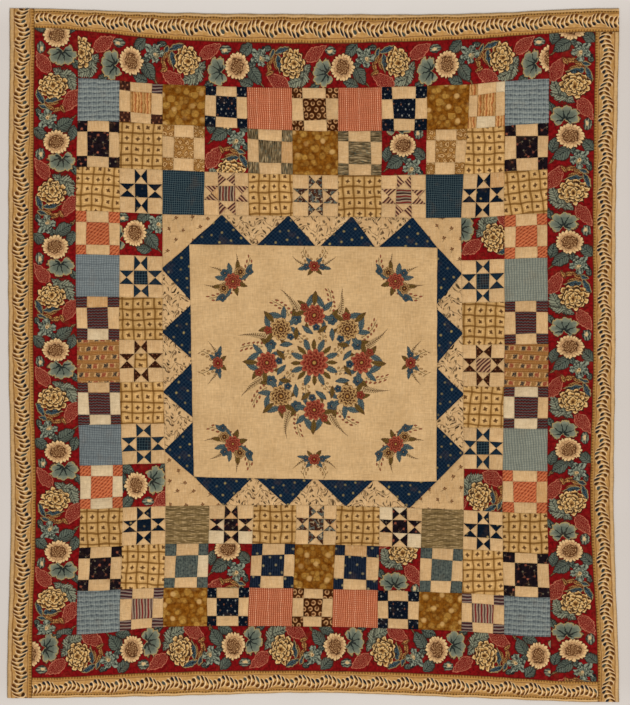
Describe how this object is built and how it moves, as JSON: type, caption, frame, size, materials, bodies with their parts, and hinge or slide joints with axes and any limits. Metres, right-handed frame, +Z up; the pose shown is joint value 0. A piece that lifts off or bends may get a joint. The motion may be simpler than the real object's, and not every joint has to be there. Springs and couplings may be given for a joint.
{
  "type": "quilt",
  "caption": "Flat pieced cotton bed quilt with a printed centre square, triangle ring, patchwork blocks, flowered strips and striped leaf border.",
  "frame": {"origin": "middle of the quilt's bounding box, on its underside", "axes": "+Z up out of the quilt's face, +Y along its length towards the top edge, +X across its width to the right"},
  "size_m": [1.9415, 2.2015, 0.0047],
  "materials": {
    "printed_square": "block-printed tan cotton, matt",
    "dark_dotted_cotton": "dark blue cotton with small pale dots, matt",
    "pale_cotton": "pale cotton with a fine sprig or vine print, matt",
    "pieced_blocks": "small printed and plain cotton patches, matt, gently faded",
    "flowered_chintz": "deep red cotton printed with tan and blue-grey flowers, soft glaze worn off",
    "striped_border": "tan cotton printed with leaf stripes, matt"
  },
  "bodies": {
    "root": {"blocks_left_inner": "pieced_blocks", "blocks_left_outer": "pieced_blocks", "blocks_right_inner": "pieced_blocks", "blocks_right_outer": "pieced_blocks", "blocks_row_01": "pieced_blocks", "blocks_row_02": "pieced_blocks", "blocks_row_03": "pieced_blocks", "blocks_row_11": "pieced_blocks", "blocks_row_12": "pieced_blocks", "blocks_row_13": "pieced_blocks", "centre_panel": "printed_square", "chintz_bottom": "flowered_chintz", "chintz_left": "flowered_chintz", "chintz_right": "flowered_chintz", "chintz_top": "flowered_chintz", "corner_after_bottom": "pale_cotton", "corner_after_left": "pale_cotton", "corner_after_right": "pale_cotton", "corner_after_top": "pale_cotton", "stripe_bottom": "striped_border", "stripe_left": "striped_border", "stripe_right": "striped_border", "stripe_top": "striped_border", "triangle_bottom_1": "dark_dotted_cotton", "triangle_bottom_2": "dark_dotted_cotton", "triangle_bottom_3": "dark_dotted_cotton", "triangle_bottom_4": "dark_dotted_cotton", "triangle_left_1": "dark_dotted_cotton", "triangle_left_2": "dark_dotted_cotton", "triangle_left_3": "dark_dotted_cotton", "triangle_left_4": "dark_dotted_cotton", "triangle_right_1": "dark_dotted_cotton", "triangle_right_2": "dark_dotted_cotton", "triangle_right_3": "dark_dotted_cotton", "triangle_right_4": "dark_dotted_cotton", "triangle_top_1": "dark_dotted_cotton", "triangle_top_2": "dark_dotted_cotton", "triangle_top_3": "dark_dotted_cotton", "triangle_top_4": "dark_dotted_cotton", "vine_bottom_1": "pale_cotton", "vine_bottom_2": "pale_cotton", "vine_bottom_3": "pale_cotton", "vine_left_1": "pale_cotton", "vine_left_2": "pale_cotton", "vine_left_3": "pale_cotton", "vine_right_1": "pale_cotton", "vine_right_2": "pale_cotton", "vine_right_3": "pale_cotton", "vine_top_1": "pale_cotton", "vine_top_2": "pale_cotton", "vine_top_3": "pale_cotton"}
  },
  "joints": []
}
